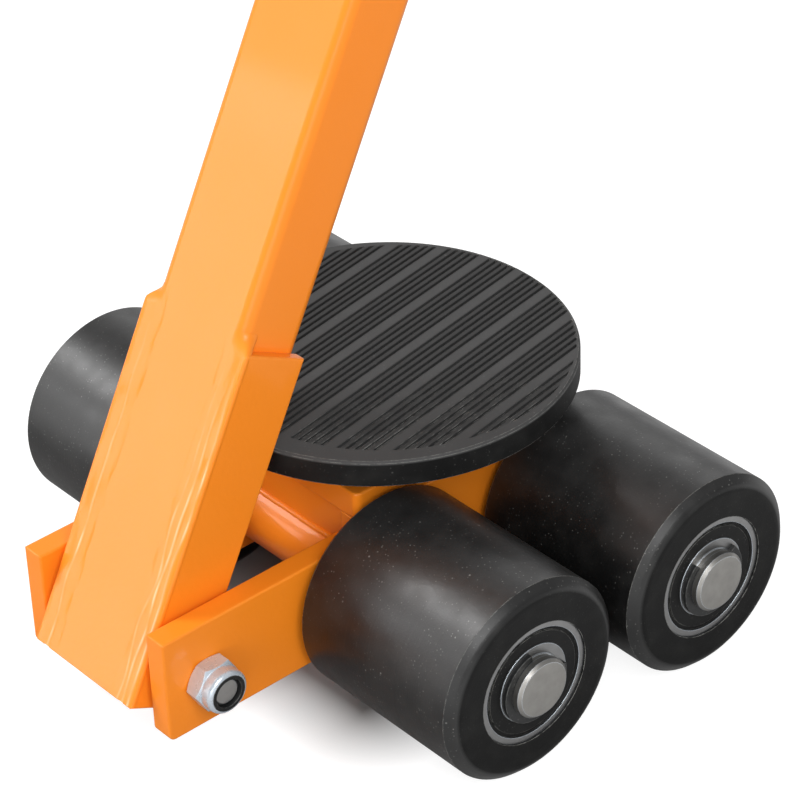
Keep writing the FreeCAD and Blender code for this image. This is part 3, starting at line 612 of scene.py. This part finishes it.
class SKATE_OT_frame(bpy.types.Operator):
    """Paint the welded frame and lay its weld beads"""

    bl_idname = "skate.frame"
    bl_label = "Frame"

    # How far beads are sunk in a joint or lie in front of it, and how far the deck's stop short of its ends.
    ring_sink = 0.2 * MM
    toe_sink = 0.4 * MM
    toe_out = 0.3 * MM
    deck_margin = 12 * MM

    def execute(self, context):
        plates = ["side_plate_right", "side_plate_left", "deck_plate"]
        plates += [f"{end}_cross_plate" for end in ENDS]
        plates += [f"{end}_axle_tube" for end in ENDS]
        dress(enamel(), *plates)
        self.lay_beads()
        return {"FINISHED"}

    def lay_beads(self):
        """Weld tubes and deck to the side plates, and cross plates to the tubes and the side plates."""
        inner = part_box("side_plate_right")[0].x
        across = Vector((inner, 0, 0))
        deck_low, deck_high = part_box("deck_plate")
        rings = []
        toes = []
        corners = []
        for end, outward in zip(ENDS, (-1, 1)):
            middle = node_centre(f"{end}_axle_tube")
            radius = tube_radius(f"{end}_axle_tube")
            plate_low, plate_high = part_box(f"{end}_cross_plate")
            face = plate_low.y if outward < 0 else plate_high.y
            rise = math.sqrt(radius ** 2 - abs(face - middle.y) ** 2)
            toe = Vector((0, face + outward * self.toe_out, middle.z + rise - self.toe_sink))
            toes.append([toe - across, toe + across])
            for side in SIDES.values():
                rings.append(ring_path(side * inner, middle, radius - self.ring_sink))
                corner = Vector((side * inner, face, 0))
                corners.append([corner + Vector((0, 0, toe.z)), corner + Vector((0, 0, deck_low.z))])
        for side in SIDES.values():
            start = Vector((side * inner, deck_low.y + self.deck_margin, deck_low.z))
            stop = Vector((side * inner, deck_high.y - self.deck_margin, deck_low.z))
            corners.append([start, stop])
        radius = sizes().bead_radius
        weld("frame_ring_welds", "frame", rings, radius, seed=2.0, drawn_in=0.0)
        weld("frame_toe_welds", "frame", toes, radius, seed=3.0, lump_width=4 * MM)
        weld("frame_corner_welds", "frame", corners, radius, seed=4.0)


class SKATE_OT_rollers(bpy.types.Operator):
    """Finish the rollers, their bearings, the axles and the retaining rings"""

    bl_idname = "skate.rollers"
    bl_label = "Rollers and axles"

    def execute(self, context):
        tint = colours()
        ring_grey = tuple(tint.ring)
        shaft_grey = tuple(tint.shaft)
        for end in ENDS:
            centre = node_centre(f"{end}_axle")
            nylon = roller_nylon(f"cast nylon, turned, {end}", centre)
            rubber, *_ = dusty_black(
                f"seal rubber, moulded, {end}", tint.seal, 0.5, centre, ROUND_X, 2.4, Specular_IOR_Level=0.15
            )
            ground = bare_metal(f"bearing steel, ground, {end}", ring_grey, 0.4, centre, ROUND_X, 0.7)
            turned = bare_metal(f"axle steel, turned, {end}", shaft_grey, 0.4, centre, ROUND_X)
            for side in SIDES:
                corner = f"{end}_{side}"
                dress(nylon, f"roller_{corner}")
                dress(rubber, f"bearing_seals_{corner}")
                dress(ground, f"bearing_outer_rings_{corner}", f"bearing_inner_rings_{corner}")
                dress(turned, f"bearing_sleeve_{corner}")
            dress(turned, f"{end}_axle")
        dress(bare_metal("spacer steel, turned", shaft_grey, 0.34, ORIGIN, ROUND_X), "axle_spacers")
        dress(spring_steel(), "axle_clips")
        return {"FINISHED"}


class SKATE_OT_turntable(bpy.types.Operator):
    """Finish the rubber load pad, its disc, the kingpin and the thrust bearing"""

    bl_idname = "skate.turntable"
    bl_label = "Turntable"

    # The pad's grooves, in millimetres and degrees, and the zones of its wear, of the painted shade on its
    # ribs and of its paler top with painted sheen.
    groove_pitch = 3.025
    groove_period = 6
    groove_turn = 9.5
    grooved_centre = (1.0, 4.5, 0.0)
    grooved_zone = (74.0, 72.5)
    land_zone = (1.6, 3.0)
    top_zone = (-1.8, -1.2)
    rim_zone = (2.0, 1.0)
    worn_side = (0.88, -0.47, 0.0)
    worn_zone = (25.0, 65.0)
    patch_width = 9.0
    least_rub = 0.06

    def execute(self, context):
        tint = colours()
        shaft_grey = tuple(tint.shaft)
        wear_and_light = {"dust": 0.25, "rub": self.rubbed, "cover": self.land_wear_and_light}
        pad, *_ = dusty_black(
            "pad rubber, moulded", tint.rubber, 0.5, ORIGIN, ROUND_Z, 6.0, **wear_and_light, Specular_IOR_Level=0.15
        )
        dress(pad, "rubber_pad")
        disc, *_ = dusty_black(
            "disc steel, black paint", tint.oxide, 0.4, ORIGIN, ROUND_Z, 2.0, Specular_IOR_Level=0.3
        )
        dress(disc, "turntable_disc")
        dress(bare_metal("kingpin steel, turned", shaft_grey, 0.35, ORIGIN, ROUND_Z), "kingpin")
        ground = bare_metal("thrust steel, ground", shaft_grey, 0.25, ORIGIN, ROUND_Z, 0.7)
        dress(ground, "thrust_washer_lower", "thrust_washer_upper", "thrust_rollers")
        bronze = bare_metal("bronze, sintered", tuple(tint.bronze), 0.4, ORIGIN, ROUND_Z)
        dress(bronze, "kingpin_bush", "thrust_cage")
        dress(zinc_plate(), "kingpin_washer")
        dress(spring_steel(), "kingpin_clip")
        return {"FINISHED"}

    def rubbed(self, tree, place):
        """Where edges are rubbed pale: along the rim, and in patches at one side of the load face."""
        low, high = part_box("rubber_pad")
        radius = (high.x - low.x) / 2 / MM
        out = axis_distance(tree, place, ORIGIN, ROUND_Z)
        rim = add(tree, RANGE, (out, *(radius - margin for margin in self.rim_zone)))
        aside = add(tree, VECTOR, (place, self.worn_side), operation="DOT_PRODUCT")
        aside = add(tree, RANGE, (aside, *self.worn_zone))
        worn = patches(tree, place, self.patch_width, 0.42, 0.6)
        worn = add(tree, MATH, (aside, worn), operation="MULTIPLY")
        most = add(tree, MATH, (rim, worn), operation="MAXIMUM")
        return add(tree, MATH, (most, self.least_rub), operation="MAXIMUM")

    def land_wear_and_light(self, tree, place, body):
        """Tone of the load face: the top is grey with wear and paler by a painted sheen, and the ribs between
        grooves are darker by painted shade.
        """
        tint = colours()
        turn = math.radians(self.groove_turn)
        square = (math.cos(turn), math.sin(turn), 0.0)
        half_period = self.groove_period * self.groove_pitch / 2
        first_land = (self.groove_period // 2 + 0.5) * self.groove_pitch
        spot = add(tree, VECTOR, (place, square), operation="DOT_PRODUCT")
        spot = add(tree, MATH, (spot, first_land), operation="SUBTRACT")
        spot = add(tree, MATH, (spot, half_period), operation="PINGPONG")
        ribs = add(tree, RANGE, (spot, *self.land_zone))
        centre = tuple(c * MM for c in self.grooved_centre)
        out = axis_distance(tree, place, centre, ROUND_Z)
        field = add(tree, RANGE, (out, *self.grooved_zone))
        ribs = add(tree, MATH, (ribs, field), operation="MULTIPLY")
        # Painted shade: the ribs between grooves take the darker rib colour, the lands the worn and lit grey.
        tone = add(tree, MIX, {0: ribs, 6: tint.rubber_worn_lit_top, 7: tint.rubber_rib_shade}, data_type="RGBA")
        # Painted sheen, partly wear: the top, down into the groove walls, takes this paler tone.
        height = add(tree, "ShaderNodeSeparateXYZ", (place,)).outputs["Z"]
        top = add(tree, RANGE, (height, *self.top_zone))
        return add(tree, MIX, {0: top, 6: body, 7: tone}, data_type="RGBA")


class SKATE_OT_hinge(bpy.types.Operator):
    """Finish the hinge bolt, its lock nut and the washers"""

    bl_idname = "skate.hinge"
    bl_label = "Drawbar hinge"

    def execute(self, context):
        tint = colours()
        centre = node_centre("hinge_bolt")
        dress(zinc_plate(), "hinge_lock_nut", "hinge_washers")
        bolt = bare_metal("bolt steel, dull zinc", tuple(tint.bolt), 0.4, centre, ROUND_X)
        dress(bolt, "hinge_bolt")
        insert, *_ = dusty_black(
            "lock ring nylon, moulded", tint.oxide, 0.45, centre, ROUND_X, Specular_IOR_Level=0.3
        )
        dress(insert, "nut_nylon_ring")
        sleeve = bare_metal("sleeve steel, turned", tuple(tint.shaft), 0.35, centre, ROUND_X)
        dress(sleeve, "hinge_sleeve")
        return {"FINISHED"}


class SKATE_OT_drawbar(bpy.types.Operator):
    """Paint the drawbar, lay its weld beads and finish the end cap and the grips"""

    bl_idname = "skate.drawbar"
    bl_label = "Drawbar"

    # The bar, with places along it measured from the hinge.
    bar_set_back = 5.6 * MM
    tube_depth = 30 * MM
    tube_corner = 4.5 * MM
    cheek_top = 125.2 * MM
    bar_tail = 19.3 * MM

    # How far the rear beads lie inside the tube and stop short of the cheeks, and the handle's stand out.
    fill_inset = 1.6 * MM
    fill_depth = 3 * MM
    fill_top_margin = 2 * MM
    fill_low_margin = 3 * MM
    handle_bead_out = 0.3 * MM

    # The skin of weld over the front corners: lengths in millimetres, and numbers of steps.
    skin_rise = 7.0
    skin_low_margin = 0.4
    skin_swell = 9.0
    skin_cover = 0.12
    row_step = 1.1
    finer = 5
    corner_steps = 8
    ridge_start = 8.0
    ridge_growth = 60.0
    ridge_height = 0.35
    ridge_width = 0.5
    ridge_zone = (-8.0, 4.6)
    ridge_depth = 1.0
    lump_height = 0.16
    lump_across = 6
    lump_along = 11
    stray = 2.0
    stray_along = 22
    wax_level = 0.55
    wax_swing = 0.9
    wax_along = 10
    # Where the ridges run, in millimetres outward of the tube's side, and how high each is.
    ridges = {1: ((-4.0, 0.6), (-0.6, 1.0), (2.6, 0.9)), -1: ((-2.0, 0.7),)}

    # The grips: their wall, and the smooth stretches without ribs.
    grip_wall = 3.5 * MM
    grip_smooth_inner = 12 * MM
    grip_smooth = 20 * MM
    rib_sink = 0.2

    def execute(self, context):
        self.hinge = node_centre("hinge_sleeve")
        centre = node_centre("handle_tube")
        reach = centre - self.hinge
        lean = math.atan2(reach.y, reach.z) + math.asin(self.bar_set_back / reach.length)
        self.lean = Matrix.Rotation(-lean, 3, "X")
        dress(enamel(), "drawbar_tube", "drawbar_cheek_right", "drawbar_cheek_left", "handle_tube")
        tint = colours().grip
        cap, *_ = dusty_black(
            "end cap plastic, moulded", tint, 0.45, centre, ROUND_X, 2.0, Specular_IOR_Level=0.35
        )
        dress(cap, "drawbar_end_cap")
        grip, *_ = dusty_black(
            "grip rubber, moulded", tint, 0.6, centre, ROUND_X, 2.0, Specular_IOR_Level=0.25
        )
        dress(grip, "handle_grip_right", "handle_grip_left")
        self.lay_beads()
        self.raise_ribs(grip)
        return {"FINISHED"}

    def bar_point(self, x, y, z):
        """A point on the leaning bar: x across, y behind the hinge, z along the bar from the hinge."""
        return self.hinge + self.lean @ Vector((x, y, z))

    def lay_beads(self):
        """Lay a skin of weld over the front corners, a bead in each rear corner and one round the handle."""
        half_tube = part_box("drawbar_tube")[1].x
        for name, side in SIDES.items():
            self.lay_skin(f"drawbar_skin_weld_{name}", side, half_tube)
        rear = -self.bar_set_back + self.tube_depth / 2
        y = rear - self.fill_depth
        high = self.cheek_top - self.fill_top_margin
        low = -self.bar_tail + self.fill_low_margin
        fills = []
        for side in SIDES.values():
            x = side * (half_tube - self.fill_inset)
            fills.append([self.bar_point(x, y, high), self.bar_point(x, y, low)])
        weld("drawbar_rear_welds", "drawbar", fills, sizes().fill_radius, seed=5.0)
        handle = node_centre("handle_tube")
        radius = tube_radius("handle_tube") + self.handle_bead_out
        x = half_tube + self.handle_bead_out
        rings = [ring_path(side * x, handle, radius) for side in SIDES.values()]
        weld("handle_welds", "drawbar", rings, sizes().handle_bead, seed=11.0, drawn_in=0.0)

    def lay_skin(self, name, side, half_tube):
        """Weld laid flush over the seam of tube and cheek.

        It grows out of the tube's corner above the cheek, swells over the cheek's top and runs down its
        front edge in low wandering ridges.
        """
        front = -self.bar_set_back - self.tube_depth / 2
        top = self.cheek_top / MM + self.skin_rise
        bottom = -self.bar_tail / MM + self.skin_low_margin
        rows = int((top - bottom) / self.row_step)
        points = []
        crests = []
        for row in range(rows + 1):
            z = top - (top - bottom) * row / rows
            for x, y, crest in self.skin_section(z, side):
                points.append(self.bar_point(side * (half_tube + x * MM), front + y * MM, z * MM))
                crests.append(crest)
        across = len(points) // (rows + 1)
        faces = []
        for row in range(rows):
            for i in range(across - 1):
                first = row * across + i
                face = (first, first + across, first + across + 1, first + 1)
                faces.append(face if side > 0 else face[::-1])
        mesh = bpy.data.meshes.new(name)
        mesh.from_pydata([tuple(point) for point in points], [], faces)
        mesh.polygons.foreach_set("use_smooth", [True] * len(faces))
        # The crest feeds the paint's painted highlight on the ridges.
        mesh.attributes.new(CREST, "FLOAT", "POINT").data.foreach_set("value", crests)
        mesh.materials.append(enamel())
        skin = put(name, mesh)
        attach(skin, "drawbar")

    def skin_section(self, z, side):
        """Points across the skin at a height, each with how near it is to the crest of a ridge.

        They are millimetres outward of the tube's side and behind its front, and go from an outline that
        hugs the tube's corner, above the cheek, to one that is flush with the cheek's front edge.
        """
        corner = self.tube_corner / MM
        reach = corner + self.skin_cover
        hug = [(-9.0, 0.08), (-6.5, -0.02)]
        for i in range(self.corner_steps + 1):
            turn = math.radians(90 * i / self.corner_steps)
            hug.append((-corner + reach * math.sin(turn), corner - reach * math.cos(turn)))
        hug += [(self.skin_cover, 5.2), (0.08, 5.9), (0.0, 6.6), (-0.1, 7.3), (-0.25, 8.0), (-0.4, 8.6)]
        flush = [(-9.0, 0.08), (-7.5, -0.02), (-6.0, -0.1), (-4.5, -0.14), (-3.0, -0.18), (-1.5, -0.2)]
        flush += [(0.0, -0.2), (1.5, -0.18), (3.0, -0.15), (4.2, -0.1), (4.8, 0.1), (5.1, 0.55)]
        flush += [(5.14, 1.2), (5.0, 2.0), (4.2, 3.2), (2.2, 4.8), (-0.4, 6.4)]
        drop = min(max((self.cheek_top / MM + self.skin_rise - z) / self.skin_swell, 0.0), 1.0)
        out = drop * drop * (3 - 2 * drop)
        low = min(max((self.cheek_top / MM - self.ridge_start - z) / self.ridge_growth, 0.0), 1.0)
        outline = [(x0 + (x1 - x0) * out, y0 + (y1 - y0) * out) for (x0, y0), (x1, y1) in zip(hug, flush)]
        inner, outer = self.ridge_zone
        section = []
        for (x0, y0), (x1, y1) in zip(outline, outline[1:]):
            for i in range(self.finer):
                x = x0 + (x1 - x0) * i / self.finer
                y = y0 + (y1 - y0) * i / self.finer
                crest = 0.0
                if inner < x < outer and y < self.ridge_depth:
                    lump, crest = self.ridge(x, z, side, low)
                    y -= out * (lump + self.ridge_height * crest)
                section.append((x, y, out * crest))
        return section + [(*outline[-1], 0.0)]

    def ridge(self, x, z, side, low):
        """Height of the skin's lumps at a place, in millimetres, and how near it is to the crest of a ridge.

        The ridges grow toward the lower end. Each strays and waxes along the bar by noises of its own, which
        the last two numbers of a place keep apart.
        """
        lump = self.lump_height * noise_at(Vector((x / self.lump_across, z / self.lump_along, side * 5.0)))
        crest = 0.0
        for i, (middle, share) in enumerate(self.ridges[side]):
            aside = noise_at(Vector((z / self.stray_along, i * 3.7, side * 9.0))) * self.stray
            wax = noise_at(Vector((z / self.wax_along, i * 7.1, side * 2.0)))
            wax = self.wax_level + self.wax_swing * wax
            near = math.exp(-((x - middle - aside) / self.ridge_width) ** 2)
            crest += share * low * max(wax, 0.0) * near
        return lump, min(crest, 1.0)

    def raise_ribs(self, grip):
        """Raise a row of ribs on each grip."""
        settings = sizes()
        tree = rib_tree()
        rib_radius = settings.rib_height
        skin = tube_radius("handle_tube") + self.grip_wall
        for side, sign in SIDES.items():
            name = f"handle_grip_{side}"
            low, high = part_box(name)
            middle = (low + high) / 2
            inner = low.x if sign > 0 else high.x
            first = inner + sign * self.grip_smooth_inner
            span = (high.x - low.x) - self.grip_smooth
            ribs = grow(
                f"{name}_ribs",
                tree,
                bpy.data.meshes.new(f"{name}_ribs"),
                {
                    "Count": int(span / settings.rib_pitch),
                    "Start": (first, middle.y, middle.z),
                    "Pitch": (sign * settings.rib_pitch, 0.0, 0.0),
                    "Ring Radius": skin - self.rib_sink * rib_radius,
                    "Rib Radius": rib_radius,
                    "Finish": grip,
                },
            )
            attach(ribs, "drawbar")


class SKATE_OT_stage(bpy.types.Operator):
    """Set up the floor, the soft lights, the white surroundings and the camera"""

    bl_idname = "skate.stage"
    bl_label = "Stage"

    # The camera: its aim and distance in metres, its angles, and its lens and sensor in millimetres.
    aim = Vector((8.6, 2.5, -22.5)) * MM
    distance = 1.31
    azimuth = math.radians(49.86)
    elevation = math.radians(34.13)
    roll = math.radians(-2.22)
    lens = 149.36
    sensor = 36.0
    clip_end = 100.0

    # The floor: half its width in metres, how brightly it glows where it is seen or mirrored, and the
    # painted shadows left under the skate, where the glow is taken away, by where they fade across and
    # along and by their shift, in millimetres.
    floor_half = 6.0
    seen_glow = 0.86
    seen_painted_shadow = ((60, 100), (66, 100), 0.0)
    mirrored_glow = 0.8
    mirrored_painted_shadow = ((190, 350), (150, 400), 90.0)

    world_strength = 0.38

    # Each soft box: the way to it from the skate, its distance and size in metres, its watts and its tilt
    # in degrees.
    soft_boxes = {
        "key": ((-0.63, -0.36, 0.69), 1.75, (0.6, 0.6), 14.0, 0.0),
        "panel": ((-0.635, -0.657, 0.407), 2.2, (0.95, 0.95), 6.0, 0.0),
        "bar strip": ((-0.611, -0.782, 0.12), 0.733, (0.135, 0.38), 0.86, 17.2),
        "back": ((-0.6, 0.66, 0.45), 2.2, (1.2, 1.0), 4.5, 0.0),
        "fill": ((0.68, -0.38, 0.62), 1.5, (0.8, 0.8), 14.0, 0.0),
        "front": ((0.52, -0.84, 0.16), 2.1, (1.3, 0.75), 8.0, 0.0),
    }

    def execute(self, context):
        scene = context.scene
        scene.view_settings.view_transform = "Standard"
        self.lay_floor()
        self.light_world(scene)
        self.hang_lights()
        self.place_camera(scene)
        return {"FINISHED"}

    def lay_floor(self):
        """Pale matt floor that glows where it is seen, so that it is white; the glow taken away under the
        skate is painted shadow.
        """
        half = self.floor_half
        level = CAD_BOX[0].z
        corners = [(-half, -half, level), (half, -half, level), (half, half, level), (-half, half, level)]
        mesh = bpy.data.meshes.new("floor")
        mesh.from_pydata(corners, [], [(0, 1, 2, 3)])
        floor = put("floor", mesh)
        material, tree, shader, place = new_material(
            "floor, matt white",
            Base_Color=colours().floor,
            Roughness=0.9,
            Specular_IOR_Level=0.1,
            Emission_Color=WHITE,
        )
        path = add(tree, "ShaderNodeLightPath").outputs
        # Painted shadow: where the camera sees the floor under the skate, the glow is taken away.
        clear = self.beside(tree, place, *self.seen_painted_shadow)
        seen = add(tree, MATH, (path["Is Camera Ray"], clear), operation="MULTIPLY")
        seen = add(tree, MATH, (seen, self.seen_glow), operation="MULTIPLY")
        rays = (path["Is Glossy Ray"], path["Is Transmission Ray"])
        mirrored = add(tree, MATH, rays, operation="MAXIMUM")
        # Painted shade in reflections: mirrored rays see no glow on a wider patch round the skate.
        clear = self.beside(tree, place, *self.mirrored_painted_shadow)
        mirrored = add(tree, MATH, (mirrored, clear), operation="MULTIPLY")
        mirrored = add(tree, MATH, (mirrored, self.mirrored_glow), operation="MULTIPLY")
        glow = add(tree, MATH, (seen, mirrored), operation="MAXIMUM")
        feed(tree, shader, {"Emission Strength": glow})
        mesh.materials.append(material)

    def beside(self, tree, place, across, along, shift):
        """Mask on the floor for a painted shadow: nought under the skate, where the glow is taken away, one
        beyond it, with round corners.

        Across and along are where it starts and ends to rise in X and Y, in millimetres. The shift moves
        the painted shadow to the left.
        """
        spot = add(tree, "ShaderNodeSeparateXYZ", (place,)).outputs
        sideways = add(tree, MATH, (spot["X"], shift), operation="ADD")
        fades = []
        for reach, zone in ((sideways, across), (spot["Y"], along)):
            reach = add(tree, MATH, (reach,), operation="ABSOLUTE")
            fades.append(add(tree, RANGE, (reach, *zone)))
        corner = add(tree, "ShaderNodeCombineXYZ", fades)
        out = add(tree, VECTOR, (corner,), operation="LENGTH")
        return add(tree, MATH, (out, 1.0), operation="MINIMUM")

    def light_world(self, scene):
        """Pale surroundings that fill the shadows softly."""
        world = bpy.data.worlds.new("studio")
        world.use_nodes = True
        scene.world = world
        back = next(made for made in world.node_tree.nodes if made.type == "BACKGROUND")
        feed(world.node_tree, back, {"Color": WHITE, "Strength": self.world_strength})

    def hang_lights(self):
        """Hang the soft boxes, unseen by the camera and facing the skate.

        The key is high at the front left, with a wide panel beside it and a narrow strip low down and near.
        One box is behind on the left, a fill is high on the right and a broad one is low at the front right.
        """
        for name, (direction, distance, (wide, high), power, tilt) in self.soft_boxes.items():
            lamp = bpy.data.lights.new(name, "AREA")
            lamp.shape = "RECTANGLE"
            lamp.size = wide
            lamp.size_y = high
            lamp.energy = power
            made = put(name, lamp)
            outward = Vector(direction).normalized()
            made.location = self.aim + outward * distance
            made.visible_camera = False
            facing = outward.to_track_quat("Z", "Y").to_matrix()
            made.rotation_euler = (facing @ Matrix.Rotation(math.radians(tilt), 3, "Z")).to_euler()

    def place_camera(self, scene):
        """Camera that looks down on the skate from the front right, level but for a slight roll."""
        flat = math.cos(self.elevation)
        back = Vector(
            (math.sin(self.azimuth) * flat, -math.cos(self.azimuth) * flat, math.sin(self.elevation))
        )
        camera = bpy.data.cameras.new("camera")
        camera.lens = self.lens
        camera.sensor_width = self.sensor
        camera.clip_end = self.clip_end
        made = put("camera", camera)
        turn = back.to_track_quat("Z", "Y").to_matrix() @ Matrix.Rotation(self.roll, 3, "Z")
        made.matrix_world = Matrix.Translation(self.aim + back * self.distance) @ turn.to_4x4()
        scene.camera = made


OPERATORS = (
    SKATE_OT_frame,
    SKATE_OT_rollers,
    SKATE_OT_turntable,
    SKATE_OT_hinge,
    SKATE_OT_drawbar,
    SKATE_OT_stage,
)


class SKATE_PT_panel(bpy.types.Panel):
    """Sidebar panel with the skate's sizes, colours and steps"""

    bl_idname = "SKATE_PT_panel"
    bl_label = "Machine skate"
    bl_space_type = "VIEW_3D"
    bl_region_type = "UI"
    bl_category = "Skate"

    def draw(self, context):
        for group in (context.scene.skate_sizes, context.scene.skate_colours):
            for name in group.__annotations__:
                self.layout.prop(group, name)
        for operator in OPERATORS:
            self.layout.operator(operator.bl_idname)


CLASSES = (SkateSizes, SkateColours, *OPERATORS, SKATE_PT_panel)


def register():
    for made in CLASSES:
        bpy.utils.register_class(made)
    bpy.types.Scene.skate_sizes = PointerProperty(type=SkateSizes)
    bpy.types.Scene.skate_colours = PointerProperty(type=SkateColours)


def unregister():
    del bpy.types.Scene.skate_colours
    del bpy.types.Scene.skate_sizes
    for made in reversed(CLASSES):
        bpy.utils.unregister_class(made)


def main():
    register()
    bpy.ops.skate.frame()
    bpy.ops.skate.rollers()
    bpy.ops.skate.turntable()
    bpy.ops.skate.hinge()
    bpy.ops.skate.drawbar()
    bpy.ops.skate.stage()


if __name__ == "__main__":
    main()
